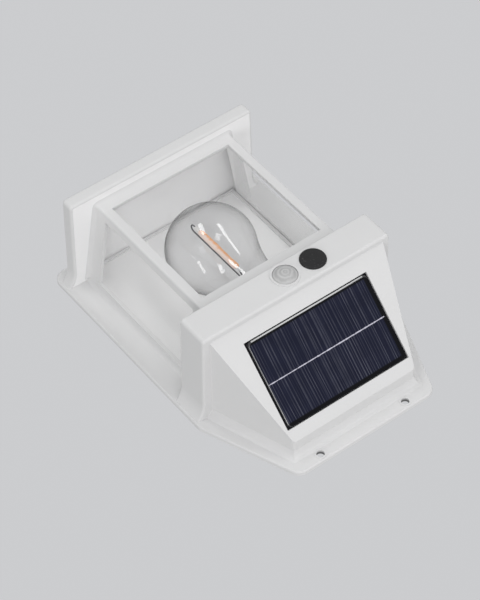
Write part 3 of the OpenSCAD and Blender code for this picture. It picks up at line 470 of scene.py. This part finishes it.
def copyOf(nodeName):
    bm = bmesh.new()
    bm.from_mesh(nodes[nodeName].data)
    bmesh.ops.remove_doubles(bm, verts=bm.verts, dist=cleaning["merge"] * mm)
    return bm


def joinFlats(bm):
    limit = math.radians(cleaning["flatAngle"])
    bmesh.ops.dissolve_limit(bm, angle_limit=limit, verts=bm.verts, edges=bm.edges)


def dropSlivers(bm):
    bmesh.ops.dissolve_degenerate(bm, dist=cleaning["sliver"] * mm, edges=bm.edges)


def meshOf(bm, name):
    mesh = bpy.data.meshes.new(name)
    bm.to_mesh(mesh)
    bm.free()
    return mesh


shell = {
    "softEdge": 0.45, "softSteps": 2, "roundness": 0.5,   # how the chosen edges are rounded
    "turn": 35, "shortest": 6.0, "sharpBack": 12.0,       # they turn more, are longer and lie further forward
    # how far off the front, a side, the slope and the slope's foot a point still counts as on it
    "slack": {"front": 0.1, "side": 0.15, "slope": 0.06, "foot": 0.1},
    "ledge": 1.6, "ringSlack": 0.02, "holeSides": 8, "sharpAngle": 32,
    # the lantern's inside, whose faces take a whiter copy of the shell's finish as painted light, but not
    # within skin of the outside
    "roomLow": (-46.0, -46.2, -80.0), "roomHigh": (46.0, -0.5, 10.0), "heart": (0.0, -24.0, -33.0),
    "skin": 1.5,
}


def lanternSide(y):
    # how far out the lantern's side walls stand at y, in metres
    return part["lanternHalf"] * mm + part["sideSlope"] * (part["lanternDepth"] * mm + y)


def drawLedgeIn(bm, s):
    # the skirt's upper ring is drawn onto the slanted part, so that no ledge is left between them
    level, slack = -part["skirtDepth"] * mm, s["ringSlack"] * mm
    ring = [v for v in bm.verts if abs(v.co.y - level) < slack and v.co.z > part["headHigh"] * mm - slack]
    inner = [v for v in ring if any(e.other_vert(v).co.y < level - slack for e in v.link_edges)]
    joined = {}
    for v in ring:
        near = min(inner, key=lambda w: (w.co - v.co).length) if v not in inner else v
        if near != v and (near.co - v.co).length < s["ledge"] * mm:
            joined[v] = near
    bmesh.ops.weld_verts(bm, targetmap=joined)
    return len(joined)


def edgesToSoften(bm, s):
    # the outward edges round the windows' fronts, the panel's recess and the slant
    slack = {where: reach * mm for where, reach in s["slack"].items()}

    def onFront(p):
        return abs(p.y + part["lanternDepth"] * mm) < slack["front"]

    def onSide(p):
        near = abs(abs(p.x) - lanternSide(p.y)) < slack["side"]
        return near and p.z < part["headLow"] * mm and p.y < -s["sharpBack"] * mm

    def onSlope(p):
        y, z = p.y + part["slantDepth"] * mm, p.z - part["headHigh"] * mm
        return abs(z * slantUp[0] - y * slantUp[1]) < slack["slope"] and z > -slack["foot"]

    chosen = []
    for edge in bm.edges:
        if not edge.is_manifold or edge.calc_length() < s["shortest"] * mm:
            continue
        turns = edge.calc_face_angle_signed() >= math.radians(s["turn"])
        if turns and any(all(on(v.co) for v in edge.verts) for on in (onFront, onSide, onSlope)):
            chosen.append(edge)
    return chosen


def faceFinishes(bm, s):
    # for each face: 0 for the shell's own finish, 1 for the lantern's inside with its painted light, 2 for a
    # wall screw's bore with its painted shade
    low, high, heart = (Vector(s[k]) * mm for k in ("roomLow", "roomHigh", "heart"))
    found = []
    for face in bm.faces:
        c = face.calc_center_median()
        fromHole = math.hypot(abs(c.x) - part["holeAcross"] * mm, c.z - part["holeHeight"] * mm)
        onSkin = c.y < (s["skin"] - part["lanternDepth"]) * mm or abs(c.x) > lanternSide(c.y) - s["skin"] * mm
        inRoom = all(low[i] < c[i] < high[i] for i in range(3)) and not onSkin
        bore = fromHole < part["holeRadius"] * mm
        found.append(2 if bore else int(inRoom and face.normal.dot(heart - c) > 0))
    return found


def makeShell(s):
    # the housing: its CAD mesh with the flats joined, some edges softened, and shading that keeps flats flat
    bm = copyOf("housing")
    joinFlats(bm)
    dropSlivers(bm)
    bmesh.ops.holes_fill(bm, edges=[e for e in bm.edges if e.is_boundary], sides=s["holeSides"])
    bm.normal_update()
    drawnIn = drawLedgeIn(bm, s)
    dropSlivers(bm)
    bm.normal_update()
    chosen = edgesToSoften(bm, s)
    bmesh.ops.bevel(bm, geom=chosen, offset=s["softEdge"] * mm, offset_type="OFFSET", segments=s["softSteps"],
                    profile=s["roundness"], affect="EDGES", clamp_overlap=True)
    found = faceFinishes(bm, s)
    mesh = meshOf(bm, "shellMoulding")
    sharpenByAngle(mesh, s["sharpAngle"])
    piece = newObject("shellMoulding", mesh)
    wear(piece, paints["shellWhite"], paints["innerPaintedLight"], paints["boreGrey"])
    for face, finish in zip(mesh.polygons, found):
        face.material_index = finish
    weighNormals(piece)
    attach(piece, "light")
    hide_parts("housing")
    print("shell softened along", len(chosen), "edges, ledge points drawn in:", drawnIn)


makeShell(shell)


linerSheet = {"middle": (0.0, -22.0, -33.0), "backEdge": 3.4, "topEdge": 7.6}


def makeLiner(s):
    # the clear liner as one sheet: its outer skin alone, so that light crosses each pane once
    bm = copyOf("window_liner")
    middle = Vector(s["middle"]) * mm
    inner = []
    for face in bm.faces:
        c = face.calc_center_median()
        if face.normal.dot(c - middle) <= 0 or c.y > -s["backEdge"] * mm or c.z > s["topEdge"] * mm:
            inner.append(face)
    bmesh.ops.delete(bm, geom=inner, context="FACES")
    joinFlats(bm)
    mesh = meshOf(bm, "linerSheet")
    piece = newObject("linerSheet", mesh)
    wear(piece, paints["clearPlastic"])
    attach(piece, "light")
    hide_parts("window_liner")
    print("liner sheet keeps", len(mesh.polygons), "faces")


makeLiner(linerSheet)


solarPanel = {
    "half": 34.0, "start": 7.9, "length": 42.6, "sink": 0.40,   # start and length run up the slant
    "corner": 0.8, "innerCorner": 2.0, "cornerSteps": 8, "sharpAngle": 60,
    # rings from the outside in: distance from the long edges' ends (x), from the long edges (t), and height
    "dome": [(0.0, 0.0, -0.50), (0.0, 0.0, -0.40), (1.15, 0.30, -0.38), (1.20, 0.36, -0.30),
             (1.34, 0.62, -0.17), (1.48, 0.98, -0.04), (1.60, 1.20, -0.01), (2.0, 1.6, 0.0)],
    "far": 0.2,             # what is left of those distances on the -x side and the upper side
    "rimRings": (2, 6),     # the rings between which the rim's finish lies
    # the cells, and how their field ends at its sides, its upper and its lower edge
    "cells": 12, "side": 1.9, "shift": 0.45, "end": 2.0, "sideRamp": (-0.1, 0.15), "endRamp": (-0.3, 0.5),
    "navy": (0.0080, 0.0093, 0.0215), "navyTones": (1.0, 1.7), "navyCloud": (6.0, 3.0),
    "border": (0.004, 0.004, 0.0055), "line": (0.115, 0.120, 0.155),
    # the light strokes across a cell, strong or weak by chance, and finer ones between them
    "fingers": 4, "drift": (30.0, 1.0), "driftReach": 0.8, "upperShift": 0.37,
    "strokeRamp": (0.03, 0.15, 1.0, 0.0), "strokeRange": (0.1, 1.0), "seed": 7.0, "upperSeed": 53.0,
    "finer": 2.0, "finerRamp": (0.06, 0.26, 1.0, 0.0), "finerChance": (0.45, 0.9), "finerShare": 0.55,
    "finerSeed": 31.0, "fade": (9.0, 2.0), "fadeRamp": (0.25, 0.65, 0.45, 1.0),
    "cellGapRamp": (0.36, 0.48, 1.0, 0.12),
    # the bright line: the range in which its half width wavers, its soft edge, its ends and its thin places
    "ribbonColour": (0.60, 0.59, 0.68), "waver": (2.2, 2.0), "ribbonRange": (-0.06, 0.54),
    "ribbonRamp": (0.75, 1.25, 1.0, 0.0), "ribbonEnd": 1.5, "ribbonEndRamp": (-0.2, 0.1),
    "ribbonGapRamp": (0.43, 0.48, 1.0, 0.55),
    "wave": (8.0, 2.0), "waveDepth": 0.02, "rough": (0.16, 0.22), "ior": 1.5, "specular": 0.12,
}
resinRim = {"border": solarPanel["border"], "tones": (1.0, 2.2), "wave": (6.0, 2.0), "waveDepth": 0.005,
            "rough": (0.06, 0.11), "ior": 1.55, "specular": 0.8, "coat": 0.8, "coatRough": 0.05}


def panelPaint(s):
    # navy cells with fine light fingers, and a broken bright line along their middle, under clear resin
    p = Paint("solarFace")
    spot = p.spot()
    x, y, z = p.axes(spot)
    t = (y + part["slantDepth"]) * slantUp[0] + (z - part["headHigh"]) * slantUp[1]
    middle = s["start"] + s["length"] / 2
    reach = s["half"] - s["side"]
    shifted = x - s["shift"]
    across = (shifted + reach) / (2 * reach) * s["cells"]
    offCell = across.offMiddle()
    upper = t > middle
    finger = across * s["fingers"] + upper * s["upperShift"] + p.noise(spot, *s["drift"]) * s["driftReach"]
    finer = finger * s["finer"]
    chance = p.dice(finger.whole() + upper * s["upperSeed"] + s["seed"])
    finerChance = p.dice(finer.whole() + s["finerSeed"])
    stroke = finger.offMiddle().ramp(*s["strokeRamp"]) * chance.span(*s["strokeRange"])
    between = finer.offMiddle().ramp(*s["finerRamp"]) * finerChance.ramp(*s["finerChance"]) * s["finerShare"]
    fade = p.noise(spot, *s["fade"]).ramp(*s["fadeRamp"])
    strokes = (stroke.most(between) * fade * offCell.ramp(*s["cellGapRamp"])).least(1.0)
    blue = p.mix(p.noise(spot, *s["navyCloud"]), *(rgba(s["navy"], times) for times in s["navyTones"]))
    lined = p.mix(strokes, blue, rgba(s["line"]))
    along = (s["length"] / 2 - s["end"]) - abs(t - middle)
    inside = (reach - abs(shifted)).ramp(*s["sideRamp"]) * along.ramp(*s["endRamp"])
    face = p.mix(inside, rgba(s["border"]), lined)
    width = p.noise(spot, *s["waver"]).span(*s["ribbonRange"])
    ends = (s["half"] - s["ribbonEnd"] - abs(x)).ramp(*s["ribbonEndRamp"])
    ribbon = (abs(t - middle) / width).ramp(*s["ribbonRamp"]) * ends
    face = p.mix(ribbon * offCell.ramp(*s["ribbonGapRamp"]), face, rgba(s["ribbonColour"]))
    wave = p.noise(spot, *s["wave"])
    return p.done(p.surface({"Base Color": face, "Roughness": wave.span(*s["rough"]), "IOR": s["ior"],
                             "Specular IOR Level": s["specular"], "Normal": p.bump(wave, s["waveDepth"])}))


def rimPaint(s):
    # the resin's rounded rim, clear and glossy over the black board
    p = Paint("resinRim")
    wave = p.noise(p.spot(), *s["wave"])
    tone = p.mix(wave, *(rgba(s["border"], times) for times in s["tones"]))
    return p.done(p.surface({"Base Color": tone, "Roughness": wave.span(*s["rough"]), "IOR": s["ior"],
                             "Specular IOR Level": s["specular"], "Coat Weight": s["coat"],
                             "Coat Roughness": s["coatRough"], "Normal": p.bump(wave, s["waveDepth"])}))


def makePanelFace(s):
    # domed resin face: rings of a rounded rectangle that climb inward
    middle = s["start"] + s["length"] / 2

    def ring(inX, inT, height):
        corner = s["corner"] if inX == 0 else s["innerCorner"]
        points = []
        for k, (sx, st) in enumerate([(1, 1), (-1, 1), (-1, -1), (1, -1)]):
            halfX = s["half"] - inX * (1 if sx > 0 else s["far"])
            halfT = s["length"] / 2 - inT * (1 if st < 0 else s["far"])
            for j in range(s["cornerSteps"] + 1):
                a = math.pi / 2 * (k + j / s["cornerSteps"])
                x = sx * (halfX - corner) + corner * math.cos(a)
                t = middle + st * (halfT - corner) + corner * math.sin(a)
                points.append(onSlant(x, t, height - s["sink"]))
        return points

    rings = [ring(*step) for step in s["dome"]]
    count = len(rings[0])
    verts = [v for r in rings for v in r]
    faces = [tuple(range(count))[::-1], tuple((len(rings) - 1) * count + k for k in range(count))]
    rimFaces = []
    for i in range(len(rings) - 1):
        for k in range(count):
            n = (k + 1) % count
            if s["rimRings"][0] <= i < s["rimRings"][1]:
                rimFaces.append(len(faces))
            faces.append((i * count + k, i * count + n, (i + 1) * count + n, (i + 1) * count + k))
    piece = meshPiece("solarFace", verts, faces, panelPaint(s), "panel_resin", replaced=["panel_resin"])
    piece.data.materials.append(rimPaint(resinRim))
    for index in rimFaces:
        piece.data.polygons[index].material_index = 1
    sharpenByAngle(piece.data, s["sharpAngle"])
    weighNormals(piece)
    print("solar face made with", len(faces), "faces")


makePanelFace(solarPanel)


sensorLens = {
    "radius": 5.75, "height": 2.4, "lift": 0.3, "rows": 60, "steps": 96, "sharpAngle": 50,
    "ripple": 0.10, "rings": 3, "rippleEnd": 0.5,   # the ripple dies out over this last stretch to the edge
    "seat": 51.7, "flange": 6.3, "flangeLow": 50.7,
    # the inside follows some rows of the outside, drawn in by a share of the wall beyond innerFrom
    "wall": 0.8, "innerEvery": 4, "innerFrom": 1.0, "innerDraw": 0.2,
    "colour": (0.52, 0.52, 0.518), "tones": (0.84, 1.2), "bandWaver": (3.0, 2.0), "waverReach": 2.2,
    "bandShare": 0.55, "mottle": (1.1, 3.0), "mottleShare": 0.35, "mottleDepth": 0.05,
    "rough": (0.30, 0.45), "ior": 1.49,
}


def lensPaint(s):
    # frosted plastic with soft rings
    p = Paint("frostedLens")
    spot = p.spot()
    x, y, z = p.axes(spot)
    out = (x * x + (z - part["controlHeight"]) ** 2.0).root()
    wavy = out + p.noise(spot, *s["bandWaver"]) * s["waverReach"]
    bands = (wavy * (2 * math.pi * s["rings"] / s["radius"])).sine() * 0.5 + 0.5
    mottle = p.noise(spot, *s["mottle"])
    paler = bands * s["bandShare"] + mottle * s["mottleShare"]
    tone = p.mix(paler, *(rgba(s["colour"], times) for times in s["tones"]))
    return p.done(p.surface({"Base Color": tone, "Roughness": mottle.span(*s["rough"]), "IOR": s["ior"],
                             "Normal": p.bump(mottle, s["mottleDepth"])}))


def makeLens(s):
    bend = (s["radius"] ** 2 + s["height"] ** 2) / 2 / s["height"]   # the radius that the dome is bent to
    middle = part["headDepth"] + s["lift"] + s["height"] - bend
    outer = []
    for i in range(s["rows"] + 1):
        r = s["radius"] * i / s["rows"]
        share = min(1.0, (s["radius"] - r) / s["rippleEnd"])
        ripple = s["ripple"] * math.cos(2 * math.pi * s["rings"] * r / s["radius"]) * share
        outer.append((r, middle + math.sqrt(bend ** 2 - r * r) + ripple - s["ripple"]))
    inner = []
    for r, h in outer[::s["innerEvery"]]:
        drawn = r - s["wall"] * s["innerDraw"] if r > s["innerFrom"] else r
        inner.append((min(drawn, s["radius"] - s["wall"]), h - s["wall"]))
    profile = outer + [(s["radius"], s["seat"]), (s["flange"], s["seat"]), (s["flange"], s["flangeLow"]),
                       (s["radius"] - s["wall"], s["flangeLow"])] + inner[::-1]
    verts, faces = turned([(r * mm, h * mm) for r, h in profile],
                          (0, 0, part["controlHeight"] * mm), (0, -1, 0), s["steps"])
    piece = meshPiece("sensorDome", verts, faces, lensPaint(s), "lens_white", replaced=["sensor_lens"])
    sharpenByAngle(piece.data, s["sharpAngle"])
    print("lens turned with", len(profile), "rows")


makeLens(sensorLens)


pushButton = {
    "across": -15.6, "radius": 6.2, "out": 1.0, "back": 51.1, "steps": 96, "sharpAngle": 40,
    # the face from its middle out, with a shallow ring: radius, and depth under the front
    "face": [(0.0, 0.10), (1.2, 0.10), (2.6, 0.06), (3.6, 0.02), (3.9, 0.10), (4.1, 0.14),
             (4.3, 0.10), (4.6, 0.01), (5.1, 0.0)],
    "softIn": 0.9, "softDown": 0.7, "softSteps": 6,   # the rounded rim
    "lugRoot": 5.6, "lugTip": 7.45, "lugHalf": 2.5, "lugDepth": 1.0,
    "colour": (0.016, 0.016, 0.0165), "tones": (0.8, 1.35), "cloud": (3.0, 2.0),
    "speck": (0.8, 1.0), "speckRamp": (0.66, 0.74), "speckShare": 0.5, "speckColour": (0.10, 0.10, 0.10),
    "grain": (0.45, 3.0), "grainDepth": 0.05, "rough": (0.46, 0.66), "specular": 0.3,
}
blockFaces = ((0, 1, 3, 2), (4, 6, 7, 5), (0, 4, 5, 1), (2, 3, 7, 6), (0, 2, 6, 4), (1, 5, 7, 3))


def buttonPaint(s):
    # moulded rubber: matt black with scattered paler specks
    p = Paint("buttonRubber")
    spot = p.spot()
    cloud, speck, grain = (p.noise(spot, *s[k]) for k in ("cloud", "speck", "grain"))
    tone = p.mix(cloud, *(rgba(s["colour"], times) for times in s["tones"]))
    tone = p.mix(speck.ramp(*s["speckRamp"]) * s["speckShare"], tone, rgba(s["speckColour"]))
    return p.done(p.surface({"Base Color": tone, "Roughness": grain.span(*s["rough"]),
                             "Normal": p.bump(grain, s["grainDepth"]), "Specular IOR Level": s["specular"]}))


def makeButton(s):
    front, edge = part["headDepth"] + s["out"], s["radius"] - s["softIn"]
    profile = [(r, front - depth) for r, depth in s["face"]] + [(edge, front)]
    for i in range(1, s["softSteps"] + 1):
        a = math.pi / 2 * i / s["softSteps"]
        depth = s["softDown"] - s["softDown"] * math.cos(a)
        profile.append((edge + s["softIn"] * math.sin(a), front - depth))
    profile += [(s["radius"], s["back"]), (0.0, s["back"])]
    verts, faces = turned([(r * mm, h * mm) for r, h in profile],
                          (s["across"] * mm, 0, part["controlHeight"] * mm), (0, -1, 0), s["steps"])
    for side in (-1, 1):
        base = len(verts)
        for x in sorted(s["across"] + side * s[k] for k in ("lugRoot", "lugTip")):
            for depth in (s["back"], s["back"] + s["lugDepth"]):
                for z in (-s["lugHalf"], s["lugHalf"]):
                    verts.append(Vector((x, -depth, part["controlHeight"] + z)) * mm)
        faces += [tuple(base + k for k in corners) for corners in blockFaces]
    piece = meshPiece("pushButton", verts, faces, buttonPaint(s), "button_rubber", body="button",
                      replaced=["button_cap"])
    sharpenByAngle(piece.data, s["sharpAngle"])
    print("button turned with", len(profile), "rows")


makeButton(pushButton)


bulb = {"radius": 21.75, "middle": -33.0, "neckRadius": 13.6, "neckUp": 34.0,
        "steps": 112, "globeRows": 44, "neckRows": 22}


def makeBulb(s):
    # the globe and its drawn-in neck as one thin skin
    up, r, n = s["neckUp"], s["radius"], s["neckRadius"]
    arc = (n * n + up * up - r * r) / 2 / (r - n)   # radius of the neck's hollow curve
    touch = up * r / (r + arc)                      # how far over the globe's middle the two curves meet
    profile = []
    for i in range(s["globeRows"] + 1):
        a = -math.pi / 2 + (math.pi / 2 + math.asin(touch / r)) * i / s["globeRows"]
        profile.append((r * math.cos(a), s["middle"] + r * math.sin(a)))
    for i in range(1, s["neckRows"] + 1):
        h = touch + (up - touch) * i / s["neckRows"]
        profile.append((n + arc - math.sqrt(arc ** 2 - (up - h) ** 2), s["middle"] + h))
    verts, faces = turned([(q * mm, h * mm) for q, h in profile],
                          (0, -part["axisDepth"] * mm, 0), (0, 0, 1), s["steps"])
    meshPiece("bulbGlobe", verts, faces, paints["bulbGlass"], "bulb_glass", replaced=["bulb_glass"])
    print("globe blown with", len(profile), "rows")


makeBulb(bulb)


filament = {
    "foot": -42.2, "out": 4.0, "halfWidth": 1.85, "halfDepth": 0.70, "sides": 16,
    "endRows": 2, "endShare": 0.35,   # rows over which an end rounds off, and its least size
    "lumpTurns": (19.0, 7.3),         # two waves up the length, whose product makes the lumps
    # the gel and the paler stub under it: both ends from the foot, shares of the width and depth, rows, lumps
    "gel": (0.0, 29.2, 1.0, 1.0, 40, 0.16), "stub": (-3.42, 0.2, 0.72, 0.8, 12, 0.04),
    "deep": (0.95, 0.46, 0.20), "pale": (0.97, 0.78, 0.69), "acrossRamp": (-0.55, 0.25),
    "lump": (1.6, 2.0), "lumpReach": 2.4, "lumpDepth": 0.1, "rough": (0.50, 0.70), "specular": 0.25,
}


def filamentPaint(s):
    # phosphor gel: deep orange along one side, paler along the other
    p = Paint("filamentGel")
    spot = p.spot()
    x, y, z = p.axes(spot)
    lump = p.noise(spot, *s["lump"])
    across = (x / s["halfWidth"] + (lump - 0.5) * s["lumpReach"]).ramp(*s["acrossRamp"])
    tone = p.mix(across, rgba(s["deep"]), rgba(s["pale"]))
    return p.done(p.surface({"Base Color": tone, "Roughness": lump.span(*s["rough"]),
                             "Normal": p.bump(lump, s["lumpDepth"]), "Specular IOR Level": s["specular"]}))


def makeFilament(s):
    def bar(low, high, widthShare, depthShare, rows, lumps):
        verts, faces, sides = [], [], s["sides"]
        for i in range(rows + 1):
            share = i / rows
            wave = math.sin(share * s["lumpTurns"][0]) * math.cos(share * s["lumpTurns"][1])
            fromEnd = min(1.0, min(share, 1 - share) * rows / s["endRows"])
            size = (1 - lumps * (0.5 + 0.5 * wave)) * max(s["endShare"], math.sqrt(1 - (1 - fromEnd) ** 2))
            wide, deep = s["halfWidth"] * widthShare * size, s["halfDepth"] * depthShare * size
            y, z = -part["axisDepth"] - s["out"], s["foot"] + low + (high - low) * share
            for k in range(sides):
                a = 2 * math.pi * k / sides
                verts.append(Vector((math.cos(a) * wide, y + math.sin(a) * deep, z)) * mm)
        for i in range(rows):
            for k in range(sides):
                n = (k + 1) % sides
                faces.append((i * sides + k, i * sides + n, (i + 1) * sides + n, (i + 1) * sides + k))
        faces += [tuple(range(sides))[::-1], tuple(rows * sides + k for k in range(sides))]
        return verts, faces

    meshPiece("filamentGel", *bar(*s["gel"]), filamentPaint(s), "filament", replaced=["bulb_filament"])
    meshPiece("filamentStub", *bar(*s["stub"]), paints["stubWhite"], "filament")
    print("filament and stub made")


makeFilament(filament)


# the CAD nodes that each paint goes on, with those that a piece above stands for
finishes = {
    "shellWhite": ["housing"],
    # the parts inside the lantern take the whiter copy too, as painted light
    "innerPaintedLight": ["lamp_deck", "lamp_holder", "sensor_sleeve", "sensor_lens"],
    "coverPaintedLight": ["rear_cover"],
    "clearPlastic": ["window_liner"],
    "bulbGlass": ["bulb_glass", "bulb_stem"],
    "sealPale": ["rear_seal", "lens_seal"],
    "zincSteel": ["rear_cover_screws", "holder_screws", "board_screws", "battery_contacts", "tray_screws"],
    "springBrass": ["holder_sleeve", "holder_contact"],
    "dullWire": ["bulb_wires"],
    "stubWhite": ["bulb_filament"],
    "capMetal": ["bulb_cap", "bulb_contact", "sensor_can"],
    "blackGloss": ["bulb_insulator"],
    "glueIvory": ["panel_adhesive"],
    "partBlack": ["button_cap", "button_guide", "switch_plunger", "switch_body", "board_parts",
                  "battery_tray"],
    "boardGreen": ["control_board"],
    "cellWrap": ["battery_cell"],
    "leadRed": ["panel_leads", "battery_leads", "lamp_leads"],
    "panelBlack": ["panel_board"],
    "cellBlue": ["panel_cells", "panel_resin"],
    "ribbonMetal": ["panel_ribbon"],
}
finished = [(name, finish) for finish, names in finishes.items() for name in names]
for nodeName, finish in finished:
    wear(nodes[nodeName], paints[finish])
print("finishes on", len(finished), "nodes of", len(nodes))
